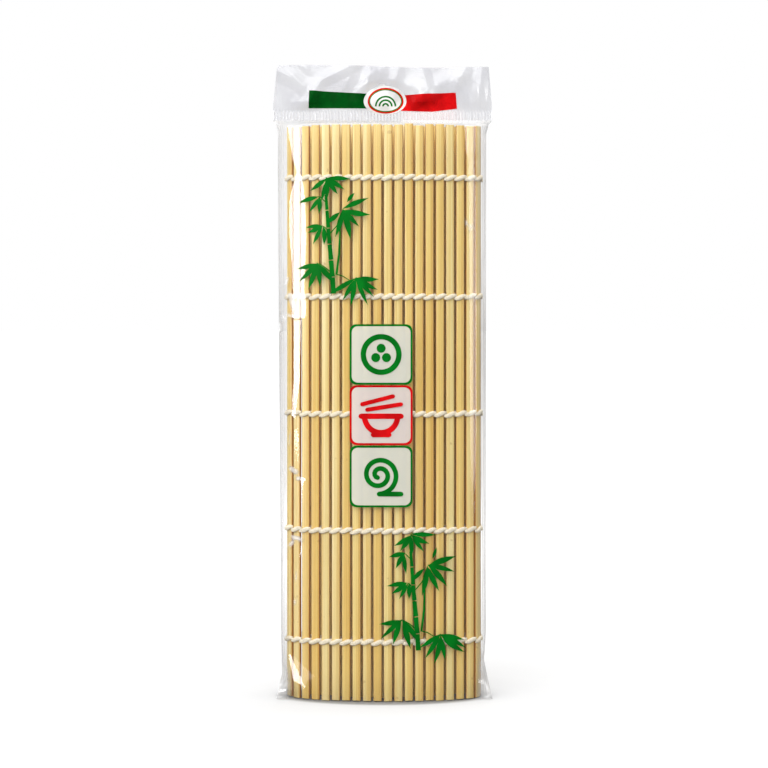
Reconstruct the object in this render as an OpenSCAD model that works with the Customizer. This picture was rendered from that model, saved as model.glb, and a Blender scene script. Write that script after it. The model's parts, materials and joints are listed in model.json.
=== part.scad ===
// Bamboo rolling mat, folded in three and standing in its clear bag.
// The slats stand along Z, the front leaf faces -Y, and z = 0 is the surface that they stand on.

/* [Slats] */
// Length of a slat, which is the mat's height as it stands
slat_len = 270; // [180:1:300]
// Width of a slat
slat_w = 4.0; // [3.6:0.1:4.4]
// Thickness of a slat
slat_t = 2.0; // [1.6:0.1:2.4]
// Flat cut along each long edge of a slat
slat_edge = 0.5; // [0.45:0.01:0.6]
// Gap between two slats when the mat lies flat
slat_gap = 0.9; // [0.8:0.05:1.2]

/* [Fold] */
// Turn of the free edge of the front leaf, in degrees
lead_heading = -50; // [-54:1:-46]
// Bend at each hinge of the curled free edge, in degrees
edge_bend = 12.3; // [11.5:0.1:13]
// Bend at each hinge across the front leaf's crown, in degrees
front_bend = 1.95; // [1.85:0.05:2.05]
// Bend at each hinge across the middle leaf, in degrees
middle_bend = -3.4; // [-3.6:0.1:-3.2]
// Bend at each hinge across the back leaf, in degrees
back_bend = -1.5; // [-1.7:0.1:-1.3]

/* [Cords] */
// Number of cord rows
cord_rows = 5; // [3:1:5]
// Height of the lowest cord row above the slats' feet
cord_margin = 25; // [15:1:35]
// Height of one cord row
cord_h = 2.4; // [1.6:0.1:3]
// Thickness of the cord over a slat's face
cord_t = 1.2; // [0.8:0.1:1.4]
// Thickness of the cord squeezed between two slats
cord_web = 0.16; // [0.12:0.01:0.2]
// Clearance between cord and slat
cord_clear = 0.05; // [0.03:0.01:0.06]

/* [Bag] */
// Thickness of the film, thicker than the real film so that it stays a solid
film_t = 0.2; // [0.15:0.05:0.4]
// Clearance between the cords and the film
film_clear = 0.4; // [0.3:0.1:1.5]
// Height of the bag's open foot above the surface
film_foot = 0.5; // [0.4:0.1:3]
// Rise of the shoulders from the slats' tops to the seam
shoulder_h = 4; // [3:0.5:12]
// Width of the flat header
header_w = 104.6; // [98:0.2:120]
// Height of the header with its seam
header_h = 26.6; // [15:0.2:40]
// Thickness of the two films of the header together
header_t = 0.4; // [0.3:0.1:1]
// Height of the crimped seam
seam_h = 3.6; // [2:0.2:6]
// Thickness of the crimped seam
seam_t = 0.8; // [0.6:0.1:1.4]
// Width of each rib of the crimped seam
seam_rib = 1.0; // [0.8:0.1:2]

/* [Hidden] */
// Hinges in each stretch of the mat, from the front leaf's free edge to the back leaf's free edge
edge_hinges = 3;
front_hinges = 14;
middle_hinges = 15;
back_hinges = 13;
// Bends of the two turns between leaves, in degrees
right_turn = [10, 31, 50, 55, 46];
left_turn = [-40, -45, -42, -19];

pitch = slat_w + slat_gap;
bends = concat(
    [for (k = [1 : edge_hinges]) edge_bend],
    [for (k = [1 : front_hinges]) front_bend],
    right_turn,
    [for (k = [1 : middle_hinges]) middle_bend],
    left_turn,
    [for (k = [1 : back_hinges]) back_bend]
);
slat_count = len(bends) + 1;
last_slat = slat_count - 1;

function unit(a) = [cos(a), sin(a)];
function normal(a) = [-sin(a), cos(a)];

// Heading of each slat's width, seen from above
headings = [
    for (i = 0, h = lead_heading; i < slat_count; h = h + (i < last_slat ? bends[i] : 0), i = i + 1) h
];
// Middle of each slat before the whole mat is centred on the origin
raw_centres = [
    for (
        i = 0, p = [0, 0];
        i < slat_count;
        p = p + (i < last_slat ? pitch / 2 * (unit(headings[i]) + unit(headings[i + 1])) : [0, 0]),
        i = i + 1
    ) p
];

// The section of a slat, with its four edges cut flat
slat_section = [
    [-slat_w / 2 + slat_edge, -slat_t / 2],
    [slat_w / 2 - slat_edge, -slat_t / 2],
    [slat_w / 2, -slat_t / 2 + slat_edge],
    [slat_w / 2, slat_t / 2 - slat_edge],
    [slat_w / 2 - slat_edge, slat_t / 2],
    [-slat_w / 2 + slat_edge, slat_t / 2],
    [-slat_w / 2, slat_t / 2 - slat_edge],
    [-slat_w / 2, -slat_t / 2 + slat_edge]
];

function placed(point, i, centres) = centres[i] + point[0] * unit(headings[i]) + point[1] * normal(headings[i]);
raw_corners = [for (i = [0 : last_slat]) for (point = slat_section) placed(point, i, raw_centres)];
middle_of_mat = [
    (min([for (c = raw_corners) c[0]]) + max([for (c = raw_corners) c[0]])) / 2,
    (min([for (c = raw_corners) c[1]]) + max([for (c = raw_corners) c[1]])) / 2
];
centres = [for (c = raw_centres) c - middle_of_mat];
function at(point, i) = placed(point, i, centres);

// Half bend at the hinge before and after slat i
function half_before(i) = i == 0 ? 0 : bends[i - 1] / 2;
function half_after(i) = i == last_slat ? 0 : bends[i] / 2;

// Cord sizes: the hollow that a slat lies in, and the outline round the whole row
hollow_y = slat_t / 2 + cord_clear;
hollow_end = slat_w / 2 + cord_clear;
outer_y = hollow_y + cord_t;
outer_end = hollow_end + cord_t;
// Bend from which the cord cuts across the corner
sharp_bend = 18;
row_step = cord_rows > 1 ? (slat_len - 2 * cord_margin) / (cord_rows - 1) : 0;

function web_before(i, y) =
    i == 0 ? -hollow_end : -pitch / 2 + y * tan(half_before(i)) + cord_web / 2 / cos(half_before(i));
function web_after(i, y) =
    i == last_slat ? hollow_end : pitch / 2 - y * tan(half_after(i)) - cord_web / 2 / cos(half_after(i));
function hollow(i) = [
    at([web_before(i, -hollow_y), -hollow_y], i),
    at([web_after(i, -hollow_y), -hollow_y], i),
    at([web_after(i, hollow_y), hollow_y], i),
    at([web_before(i, hollow_y), hollow_y], i)
];
// The corner of the row's outline at the hinge after slat i, cut straight across outside a sharp bend
function outer_corner(i, y) =
    -y * sign(bends[i]) > 0 && abs(bends[i]) > sharp_bend
    ? [at([slat_w / 2, y], i), at([-slat_w / 2, y], i + 1)]
    : [at([pitch / 2 - y * tan(half_after(i)), y], i)];
function outer_side(y) = concat(
    [at([-outer_end, y * hollow_y / outer_y], 0), at([-hollow_end, y], 0)],
    [for (i = [0 : last_slat - 1]) for (corner = outer_corner(i, y)) corner],
    [at([hollow_end, y], last_slat), at([outer_end, y * hollow_y / outer_y], last_slat)]
);
function reversed(points) = [for (i = [len(points) - 1 : -1 : 0]) points[i]];

// Bag sizes
seam_z = slat_len + shoulder_h;
rib_count = floor(header_w / (2 * seam_rib));
film_sides = 48;
film_step = 360 / film_sides;
// Half the slit that the films leave inside the seam
slit_half = 0.1;

corded_outline = concat(outer_side(-outer_y), outer_side(outer_y));
// How far the cords reach in direction a, and where the film's tangents in two directions next to each other meet
function reach(a) = max([for (c = corded_outline) c * unit(a)]);
function film_corner(k, grow) =
    let (a = k * film_step, near = reach(a) + grow, far = reach(a + film_step) + grow)
    near * unit(a) + (far - near * cos(film_step)) / sin(film_step) * normal(a);
function film_ring(grow, z) = [for (k = [0 : film_sides - 1]) concat(film_corner(k, grow), [z])];
// The same ring drawn flat into the seam
function seam_ring(grow, half_w, half_t, z) = [
    for (k = [0 : film_sides - 1])
        let (p = film_corner(k, grow))
        [p[0] * half_w / (reach(0) + grow), p[1] * half_t / (reach(90) + grow), z]
];

function two_digits(n) = n < 10 ? str("0", n) : str(n);
function slat_name(i) = str("slat_", two_digits(i + 1));

module slat(i) {
    color("burlywood")
        linear_extrude(height = slat_len)
            polygon([for (point = slat_section) at(point, i)]);
}

// One row: the cord lies along both faces of the slats and passes between every two of them
module cord_row(z) {
    translate([0, 0, z - cord_h / 2])
        linear_extrude(height = cord_h)
            difference() {
                polygon(concat(outer_side(-outer_y), reversed(outer_side(outer_y))));
                for (i = [0 : last_slat])
                    polygon(hollow(i));
            }
}

module binding_cords() {
    color("ivory")
        for (row = [0 : cord_rows - 1])
            cord_row(cord_margin + row * row_step);
}

// The film goes up round the folded mat and draws in over its top to the seam
module clear_sleeve() {
    outer = film_clear + film_t;
    rings = [
        film_ring(outer, film_foot),
        film_ring(outer, slat_len),
        seam_ring(outer, header_w / 2, seam_t / 2 + film_t / 2, seam_z),
        seam_ring(outer, header_w / 2 - film_t, slit_half, seam_z),
        film_ring(film_clear, slat_len),
        film_ring(film_clear, film_foot)
    ];
    ring_count = len(rings);
    color("lightcyan", 0.4)
        polyhedron(
            points = [for (ring = rings) for (p = ring) p],
            faces = [
                for (r = [0 : ring_count - 1])
                    for (k = [0 : film_sides - 1])
                        for (half = [0, 1])
                            let (
                                a = r * film_sides + k,
                                b = r * film_sides + (k + 1) % film_sides,
                                c = (r + 1) % ring_count * film_sides + (k + 1) % film_sides,
                                d = (r + 1) % ring_count * film_sides + k
                            )
                            half == 0 ? [a, c, b] : [a, d, c]
            ]
        );
}

// The two films lie flat together above the crimped seam
module header() {
    color("whitesmoke", 0.7)
        union() {
            translate([-header_w / 2, -header_t / 2, seam_z])
                cube([header_w, header_t, header_h]);
            for (k = [0 : rib_count - 1])
                translate([(2 * k - rib_count + 0.5) * seam_rib, -seam_t / 2, seam_z])
                    cube([seam_rib, seam_t, seam_h]);
        }
}

for (i = [0 : last_slat])
    slat(i);
binding_cords();
clear_sleeve();
header();
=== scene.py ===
import json
import math

import bpy
import numpy as np
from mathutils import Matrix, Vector


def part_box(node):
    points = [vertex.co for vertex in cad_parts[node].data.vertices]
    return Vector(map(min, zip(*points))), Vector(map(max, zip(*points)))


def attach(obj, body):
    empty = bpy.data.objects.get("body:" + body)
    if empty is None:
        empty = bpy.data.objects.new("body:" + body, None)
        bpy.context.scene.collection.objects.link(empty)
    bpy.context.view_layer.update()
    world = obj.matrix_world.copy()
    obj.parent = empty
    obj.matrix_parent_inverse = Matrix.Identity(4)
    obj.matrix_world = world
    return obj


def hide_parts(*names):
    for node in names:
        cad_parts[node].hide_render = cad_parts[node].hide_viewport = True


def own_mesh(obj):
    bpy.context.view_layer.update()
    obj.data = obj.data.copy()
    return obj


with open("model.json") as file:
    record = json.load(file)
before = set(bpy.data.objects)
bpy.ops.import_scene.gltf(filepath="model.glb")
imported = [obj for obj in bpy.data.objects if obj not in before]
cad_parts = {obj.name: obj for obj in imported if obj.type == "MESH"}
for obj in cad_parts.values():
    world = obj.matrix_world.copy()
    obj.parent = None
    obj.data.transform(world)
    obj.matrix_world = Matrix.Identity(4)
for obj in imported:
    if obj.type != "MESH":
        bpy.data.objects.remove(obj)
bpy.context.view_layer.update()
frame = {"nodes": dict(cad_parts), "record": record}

MM = 0.001
SLATS = sorted(n for n in frame["nodes"] if n.startswith("slat_"))
SLAT_LOW, SLAT_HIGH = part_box(SLATS[0])
SLEEVE_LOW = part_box("clear_sleeve")[0]
SEAM_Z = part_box("header")[0].z
RNG = np.random.default_rng(27)
BODY = {node: body for body, nodes in frame["record"]["behaviour"]["bodies"].items() for node in nodes}

# The photograph's frame: its width at the bag's front, the camera's place and its middle's height
FIELD = 0.3592
CAMERA_HEIGHT = 0.200
CAMERA_DISTANCE = 0.900
FRAME_MIDDLE = 0.1493
SENSOR = 36.0
PHOTO_PIXELS = 768
PHOTO_MIDDLE = PHOTO_PIXELS / 2
PX = FIELD / PHOTO_PIXELS
FRONT_Y = SLEEVE_LOW.y


def photo_x(px, y=FRONT_Y):
    """Where a column of the photograph lies across the object, at depth y."""
    return (px - PHOTO_MIDDLE) * PX * (CAMERA_DISTANCE + y - FRONT_Y) / CAMERA_DISTANCE


def photo_z(py, y=FRONT_Y):
    """The height of a row of the photograph on the object, at depth y."""
    level = FRAME_MIDDLE - (py - PHOTO_MIDDLE) * PX
    return CAMERA_HEIGHT + (level - CAMERA_HEIGHT) * (CAMERA_DISTANCE + y - FRONT_Y) / CAMERA_DISTANCE


def add_object(name, data):
    obj = bpy.data.objects.new(name, data)
    bpy.context.scene.collection.objects.link(obj)
    return obj


def mesh_object(name, points, faces):
    mesh = bpy.data.meshes.new(name)
    mesh.from_pydata([tuple(map(float, p)) for p in points], [], [tuple(int(i) for i in f) for f in faces])
    mesh.validate()
    mesh.update()
    mesh.polygons.foreach_set("use_smooth", [True] * len(mesh.polygons))
    return add_object(name, mesh)


def set_attribute(obj, name, values):
    attribute = obj.data.attributes.new(name, "FLOAT", "POINT")
    attribute.data.foreach_set("value", np.broadcast_to(values, (len(obj.data.vertices),)).astype(np.float32))


def tube(rings, closed_ends=True):
    """Faces of a tube through rings of equally many points."""
    count, sides = len(rings), len(rings[0])
    faces = []
    for r in range(count - 1):
        for k in range(sides):
            a, b = r * sides + k, r * sides + (k + 1) % sides
            faces.append((a, b, b + sides, a + sides))
    if closed_ends:
        faces.append(tuple(reversed(range(sides))))
        faces.append(tuple(range((count - 1) * sides, count * sides)))
    return faces


def grid_faces(rows, columns):
    """Faces of a grid of rows x columns points that looks toward -Y when columns run along +X and rows up."""
    corners = [r * columns + c for r in range(rows - 1) for c in range(columns - 1)]
    return [(k, k + 1, k + columns + 1, k + columns) for k in corners]


class Slat:
    """Where one slat lies: its middle, its width's direction and its normal, seen from above."""

    def __init__(self, node):
        self.node = node
        co = np.array([v.co for v in frame["nodes"][node].data.vertices])
        corners = np.unique(np.round(co[:, :2], 7), axis=0)
        self.middle = corners.mean(0)
        spread = corners - self.middle
        _, axes = np.linalg.eigh(spread.T @ spread)
        self.along = axes[:, 1]
        across = np.array([-self.along[1], self.along[0]])
        self.width = np.ptp(spread @ self.along)
        self.thick = np.ptp(spread @ across)

    def face(self, toward):
        """Turns the width's direction toward a place."""
        if np.dot(toward - self.middle, self.along) < 0:
            self.along = -self.along
        self.across = np.array([-self.along[1], self.along[0]])

    def place(self, u, n, z):
        """Points of the slat: u along its width, n along its normal, at height z."""
        u, n, z = np.broadcast_arrays(np.asarray(u, float), np.asarray(n, float), np.asarray(z, float))
        xy = self.middle + u[..., None] * self.along + n[..., None] * self.across
        return np.concatenate([xy, z[..., None]], axis=-1)


slats = [Slat(n) for n in SLATS]
for this, after in zip(slats, slats[1:]):
    this.face(after.middle)
slats[-1].face(2 * slats[-1].middle - slats[-2].middle)
PITCH = max(np.linalg.norm(b.middle - a.middle) for a, b in zip(slats, slats[1:]))


def node_material(name):
    material = bpy.data.materials.new(name)
    material.use_nodes = True
    tree = material.node_tree
    tree.nodes.clear()
    output = tree.nodes.new("ShaderNodeOutputMaterial")
    return material, tree, output


def link(tree, source, target):
    tree.links.new(source, target)


def ramp(tree, factor, stops):
    node = tree.nodes.new("ShaderNodeValToRGB")
    elements = node.color_ramp.elements
    while len(elements) < len(stops):
        elements.new(0.5)
    for element, (position, colour) in zip(elements, stops):
        element.position = position
        element.color = (*colour, 1)
    link(tree, factor, node.inputs["Fac"])
    return node.outputs["Color"]


def mapped(tree, scale):
    """The piece's own coordinates in metres, multiplied by scale."""
    coordinates = tree.nodes.new("ShaderNodeTexCoord")
    mapping = tree.nodes.new("ShaderNodeMapping")
    mapping.inputs["Scale"].default_value = scale
    link(tree, coordinates.outputs["Object"], mapping.inputs["Vector"])
    return mapping.outputs["Vector"]


def noise(tree, grain, detail, roughness):
    """Noise with so many grains to the metre along X, Y and Z."""
    node = tree.nodes.new("ShaderNodeTexNoise")
    node.inputs["Scale"].default_value = 1.0
    node.inputs["Detail"].default_value = detail
    node.inputs["Roughness"].default_value = roughness
    link(tree, mapped(tree, grain), node.inputs["Vector"])
    return node.outputs["Fac"]


def mix_colour(tree, blend, factor, a, b):
    node = tree.nodes.new("ShaderNodeMix")
    node.data_type = "RGBA"
    node.blend_type = blend
    for value, socket in ((factor, node.inputs[0]), (a, node.inputs[6]), (b, node.inputs[7])):
        if isinstance(value, (int, float)):
            socket.default_value = value
        elif isinstance(value, tuple):
            socket.default_value = (*value, 1)
        else:
            link(tree, value, socket)
    return node.outputs[2]


def attribute_value(tree, name):
    node = tree.nodes.new("ShaderNodeAttribute")
    node.attribute_name = name
    return node.outputs["Fac"]


def math_node(tree, operation, a, b):
    node = tree.nodes.new("ShaderNodeMath")
    node.operation = operation
    for value, socket in ((a, node.inputs[0]), (b, node.inputs[1])):
        if isinstance(value, (int, float)):
            socket.default_value = value
        else:
            link(tree, value, socket)
    return node.outputs[0]


def mix_shader(tree, factor, a, b):
    node = tree.nodes.new("ShaderNodeMixShader")
    link(tree, factor, node.inputs["Fac"])
    link(tree, a, node.inputs[1])
    link(tree, b, node.inputs[2])
    return node.outputs["Shader"]


def bump_normal(tree, height, strength, distance):
    node = tree.nodes.new("ShaderNodeBump")
    node.inputs["Strength"].default_value = strength
    node.inputs["Distance"].default_value = distance
    link(tree, height, node.inputs["Height"])
    return node.outputs["Normal"]


def principled(tree, output, colour, roughness):
    """A principled shader as the material's surface."""
    shader = tree.nodes.new("ShaderNodeBsdfPrincipled")
    link(tree, colour, shader.inputs["Base Color"])
    shader.inputs["Roughness"].default_value = roughness
    link(tree, shader.outputs["BSDF"], output.inputs["Surface"])
    return shader


PURE_WHITE = (1.0, 1.0, 1.0)
# Colours of the slats, from the most golden to the palest
BAMBOO_TONES = [
    (0.0, (0.82, 0.61, 0.20)),
    (0.3, (0.865, 0.69, 0.27)),
    (0.6, (0.885, 0.74, 0.335)),
    (0.85, (0.90, 0.78, 0.425)),
    (1.0, (0.87, 0.78, 0.41)),
]
# Painted light and shade across each slat's width: palest toward one edge, as if lit from that side, warmer
# and darker toward the other, and darkest on the cut sides, partly painted shade of the gaps between slats
# and partly their rougher cut
SLAT_PAINTED_SHADING = [
    (0.0, (0.60, 0.34, 0.14)),
    (0.06, PURE_WHITE),
    (0.35, (1.0, 0.985, 0.95)),
    (0.75, (0.95, 0.90, 0.76)),
    (0.92, (0.88, 0.77, 0.56)),
    (1.0, (0.54, 0.28, 0.10)),
]
CREASE_GRAIN = (110, 110, 16)


def bamboo_material():
    material, tree, output = node_material("bamboo")
    fibres = noise(tree, (2400, 2400, 9), 4.0, 0.65)
    bands = noise(tree, (700, 700, 5), 2.0, 0.5)
    patches = noise(tree, (150, 150, 12), 2.0, 0.5)
    knots = noise(tree, (330, 330, 260), 1.0, 0.4)
    colour = ramp(tree, attribute_value(tree, "tone"), BAMBOO_TONES)
    for pattern, share, stops in (
            (fibres, 0.75, [(0.34, (0.80, 0.70, 0.52)), (0.60, PURE_WHITE)]),
            (bands, 0.9, [(0.38, (0.93, 0.82, 0.60)), (0.58, PURE_WHITE)]),
            (patches, 0.7, [(0.35, (0.96, 0.88, 0.70)), (0.65, PURE_WHITE)]),
            (knots, 0.3, [(0.76, PURE_WHITE), (0.80, (0.42, 0.20, 0.06))]),
            # The last ramp paints light and shade across the slat's width.
            (attribute_value(tree, "side"), 1.0, SLAT_PAINTED_SHADING)):
        colour = mix_colour(tree, "MULTIPLY", share, colour, ramp(tree, pattern, stops))
    shader = principled(tree, output, colour, 0.42)
    link(tree, bump_normal(tree, fibres, 0.25, 0.00008), shader.inputs["Normal"])
    return material


def cotton_material():
    material, tree, output = node_material("cotton_cord")
    fuzz = noise(tree, (2200, 2200, 3200), 3.0, 0.6)
    colour = ramp(tree, fuzz, [(0.3, (0.66, 0.57, 0.40)), (0.62, (0.88, 0.80, 0.64))])
    shader = principled(tree, output, colour, 0.85)
    shader.inputs["Sheen Weight"].default_value = 0.3
    link(tree, bump_normal(tree, fuzz, 0.5, 0.00012), shader.inputs["Normal"])
    return material


def film_material(name, colour, ripple, roughness, grain=CREASE_GRAIN, shine=0.045, painted_reflection=PURE_WHITE):
    """Thin clear film.

    Its haze attribute is the share of what lies behind that it veils, and its painted reflection attribute is
    how far the colour of that veil turns to the colour given for painted highlights and reflections.
    """
    material, tree, output = node_material(name)
    folds = noise(tree, grain, 3.0, 0.5)
    normal = bump_normal(tree, folds, ripple, 0.001)
    clear = tree.nodes.new("ShaderNodeBsdfTransparent")
    body = tree.nodes.new("ShaderNodeBsdfDiffuse")
    shade = ramp(tree, folds, [(0.3, (0.93, 0.93, 0.95)), (0.7, PURE_WHITE)])
    tint = mix_colour(tree, "MULTIPLY", 0.5, colour, shade)
    # Painted highlights and reflections turn the veil toward their colour.
    tint = mix_colour(tree, "MIX", attribute_value(tree, "painted_reflection"), tint, painted_reflection)
    link(tree, tint, body.inputs["Color"])
    gloss = tree.nodes.new("ShaderNodeBsdfGlossy")
    gloss.inputs["Roughness"].default_value = roughness
    facing = tree.nodes.new("ShaderNodeLayerWeight")
    facing.inputs["Blend"].default_value = 0.5
    for node in (body, gloss, facing):
        link(tree, normal, node.inputs["Normal"])
    grazing = math_node(tree, "POWER", facing.outputs["Facing"], 5.0)
    share = math_node(tree, "ADD", math_node(tree, "MULTIPLY", grazing, 0.6), shine)
    under = mix_shader(tree, attribute_value(tree, "haze"), clear.outputs["BSDF"], body.outputs["BSDF"])
    link(tree, mix_shader(tree, share, under, gloss.outputs["BSDF"]), output.inputs["Surface"])
    return material


def ink_material(name, colour):
    material, tree, output = node_material(name)
    cover = noise(tree, (170, 170, 110), 1.0, 0.5)
    shade = tuple(0.7 * c for c in colour)
    shader = principled(tree, output, ramp(tree, cover, [(0.35, shade), (0.65, colour)]), 0.4)
    shader.inputs["Specular IOR Level"].default_value = 0.03
    return material


BAMBOO = bamboo_material()
COTTON = cotton_material()
FILM = film_material("clear_film", (0.62, 0.615, 0.61), 0.12, 0.09)
# The header film's painted reflection takes the red bar's pink.
HEADER_FILM = film_material("header_film", (0.47, 0.47, 0.53), 0.25, 0.28, (90, 90, 90), shine=0.05,
                             painted_reflection=(0.92, 0.62, 0.64))
WHITE_PANEL = film_material("white_panel", (0.78, 0.79, 0.69), 0.05, 0.3)
ROSE_PANEL = film_material("rose_panel", (0.84, 0.75, 0.71), 0.05, 0.3)
WHITE = ink_material("white_ink", (0.88, 0.88, 0.88))
GREEN = ink_material("green_ink", (0.001, 0.175, 0.012))
DARK_GREEN = ink_material("dark_green_ink", (0.0, 0.080, 0.007))
RED = ink_material("red_ink", (0.70, 0.005, 0.007))


def finish_piece(obj, body, slot, material, *nodes):
    obj.data.materials.append(material)
    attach(obj, body)
    if nodes:
        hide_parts(*nodes)
    return obj


# Slats

EDGE_ROUND = 0.5 * MM
ROUND_STEPS = 4
SLAT_RINGS = 19
SLAT_CROWN = 0.24
# The slats' feet and tops stand higher than CAD's, by the photograph, and each one's a little differently
FEET_GAP = 0.5 * MM
FEET_SPREAD = 0.12 * MM
HEAD_RISE = 0.9 * MM
HEAD_SPREAD = 0.2 * MM
# Along its length a slat loses up to twice this share of its width, and its middle sways this far
SLAT_NARROWING = 0.012
SLAT_SWAY = 0.05 * MM
END_BEVEL = 0.2 * MM
TONE_MIDDLE = 0.52
TONE_SPREAD = 0.26


def slat_outline(width, thick, crown):
    """Rounded strip section, with its faces slightly crowned, as split bamboo has."""
    half_w, half_t, r = width / 2, thick / 2, EDGE_ROUND
    points = []
    for cx, cy, start in ((half_w - r, half_t - r, 0), (-half_w + r, half_t - r, 90),
                          (-half_w + r, -half_t + r, 180), (half_w - r, -half_t + r, 270)):
        for k in range(ROUND_STEPS + 1):
            a = math.radians(start + 90 * k / ROUND_STEPS)
            points.append((cx + r * math.cos(a), cy + r * math.sin(a)))
    points = np.array(points)
    points[:, 1] *= 1 - crown * (points[:, 0] / half_w) ** 2
    return points


def make_slat(slat):
    outline = slat_outline(slat.width, slat.thick, SLAT_CROWN)
    drift = RNG.normal(0, 1, 6)
    foot = SLAT_LOW.z + FEET_GAP + FEET_SPREAD * drift[2]
    head = SLAT_HIGH.z + HEAD_RISE + HEAD_SPREAD * drift[3]
    rings = []
    for t in np.linspace(0, 1, SLAT_RINGS):
        squeeze = 1 - SLAT_NARROWING * (1 + math.sin(2 * math.pi * (t * 1.3 + drift[0])))
        shift = SLAT_SWAY * math.sin(2 * math.pi * (0.8 * t + drift[4]))
        z = foot + (head - foot) * t
        rings.append(slat.place(outline[:, 0] * squeeze + shift, outline[:, 1], z))
    obj = mesh_object(f"bamboo_{slat.node}", np.concatenate(rings), tube(rings))
    set_attribute(obj, "tone", float(np.clip(TONE_MIDDLE + TONE_SPREAD * drift[1], 0.02, 0.98)))
    side = 0.5 + 0.5 * outline[:, 0] / outline[:, 0].max()
    set_attribute(obj, "side", np.tile(side, SLAT_RINGS))
    bevel = obj.modifiers.new("ends", "BEVEL")
    bevel.width = END_BEVEL
    bevel.segments = 2
    bevel.limit_method = "ANGLE"
    bevel.angle_limit = math.radians(60)
    return finish_piece(obj, BODY[slat.node], "bamboo", BAMBOO, slat.node)


for slat in slats:
    make_slat(slat)

# Cord twists

# Heights of the cord rows above the slats' feet, by the photograph, and how much each stitch strays from them
ROW_HEIGHTS = [SLAT_LOW.z + MM * h for h in (28.0, 80.2, 134.9, 190.1, 246.1)]
ROW_SPREAD = 0.12 * MM
STRAND_SIDES = 12
STRAND_STEPS = 18
FACE_LIFT = 0.42 * MM
# How far a strand reaches past the middle of a gap
STRAND_OVERLAP = 0.55 * MM
# Half height and half thickness of a strand in a gap, and what it gains over a face, all in mm
STRAND_HEIGHT = (0.47, 0.62)
STRAND_THICKNESS = (0.32, 0.26)
# The cord's turn round a free edge: half its height, half its thickness, its reach and the points along it
LOOP_HEIGHT = 0.95 * MM
LOOP_THICKNESS = 0.42 * MM
LOOP_REACH = 0.95 * MM
LOOP_STEPS = 11


def sweep(line, half_wide, half_flat):
    """Rings of a flattened strand along a line, with half its height and half its thickness at each point."""
    tangent = np.gradient(line, axis=0)
    tangent /= np.linalg.norm(tangent, axis=1)[:, None]
    rings = []
    for point, direction, w, f in zip(line, tangent, half_wide, half_flat):
        wide = np.array([0, 0, 1.0]) - direction * direction[2]
        wide /= np.linalg.norm(wide)
        flat = np.cross(direction, wide)
        rings.append(np.array([point + wide * w * math.cos(a) + flat * f * math.sin(a)
                               for a in np.linspace(0, 2 * math.pi, STRAND_SIDES, endpoint=False)]))
    return rings


def face_strand(slat, z0, side):
    """One strand over a face of a slat.

    It comes out of a gap low on the left and dives into the next one high on the right.
    """
    s = np.linspace(-1, 1, STRAND_STEPS + 1)
    top = slat.thick / 2 + FACE_LIFT
    u = (PITCH / 2 + STRAND_OVERLAP) * s
    n = side * top * (1 - 0.45 * np.abs(s) ** 5)
    z = z0 - side * (0.80 * MM * np.sin(s * 1.3) + 0.10 * MM * np.sin(s * 5))
    fullness = np.clip(np.cos(s * 1.5), 0, 1) ** 0.6
    half_wide, half_flat = [(thin + gain * fullness) * MM for thin, gain in (STRAND_HEIGHT, STRAND_THICKNESS)]
    return sweep(slat.place(u, n, z), half_wide, half_flat)


def edge_loop(slat, z0, end):
    """The cord's turn round the free edge of the first or the last slat."""
    a = np.linspace(-0.5, 0.5, LOOP_STEPS) * math.pi
    u = end * (slat.width / 2 - 0.2 * MM + LOOP_REACH * np.cos(a))
    n = (slat.thick / 2 + 0.25 * MM) * np.sin(a)
    z = z0 + 0.5 * MM * np.sin(a)
    half_wide, half_flat = np.full(LOOP_STEPS, LOOP_HEIGHT), np.full(LOOP_STEPS, LOOP_THICKNESS)
    return sweep(slat.place(u, n, z), half_wide, half_flat)


def make_twists(index, slat):
    points, faces = [], []
    for z0 in ROW_HEIGHTS:
        z0 = z0 + ROW_SPREAD * RNG.normal()
        strands = [face_strand(slat, z0, side) for side in (-1, 1)]
        if index == 0:
            strands.append(edge_loop(slat, z0, -1))
        if index == len(slats) - 1:
            strands.append(edge_loop(slat, z0, 1))
        for rings in strands:
            start = sum(len(p) for p in points)
            faces += [tuple(i + start for i in f) for f in tube(rings)]
            points.append(np.concatenate(rings))
    obj = mesh_object(f"cord_twist_{slat.node[-2:]}", np.concatenate(points), faces)
    return finish_piece(obj, BODY[slat.node], "cotton_cord", COTTON, "binding_cords")


for index, slat in enumerate(slats):
    make_twists(index, slat)

# Film bag


def convex_hull(points):
    """Corners of the convex outline: the front chain and the back chain, each from left to right."""
    points = sorted(map(tuple, np.unique(np.round(points, 7), axis=0)))

    def chain(ordered):
        kept = []
        for p in ordered:
            while len(kept) > 1:
                (ax, ay), (bx, by) = kept[-2], kept[-1]
                if (bx - ax) * (p[1] - ay) - (by - ay) * (p[0] - ax) > 0:
                    break
                kept.pop()
            kept.append(p)
        return np.array(kept)

    return chain(points), chain(points[::-1])[::-1]


sleeve_co = np.array([v.co for v in frame["nodes"]["clear_sleeve"].data.vertices])
foot_ring = sleeve_co[np.abs(sleeve_co[:, 2] - SLEEVE_LOW.z) < 1e-6][:, :2]
HULL_FRONT, HULL_BACK = convex_hull(foot_ring)


def hull_front(x):
    return np.interp(x, HULL_FRONT[:, 0], HULL_FRONT[:, 1])


def hull_back(x):
    return np.interp(x, HULL_BACK[:, 0], HULL_BACK[:, 1])


# The bag's side creases, as rows and columns of the photograph
LEFT_CREASE = [
    (115, 273), (120, 273.2), (125, 276.5), (134, 278.3), (165, 277.9), (400, 279.5),
    (640, 281.2), (660, 281.8), (671, 282.8), (680, 280.6), (692, 277.8), (702, 277.4),
]
RIGHT_CREASE = [
    (115, 492.0), (120, 491.8), (125, 488.5), (134, 486.2), (400, 485.8), (630, 486.0),
    (650, 484.8), (659, 483.8), (675, 487.0), (694, 491.3), (702, 491.4),
]
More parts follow.
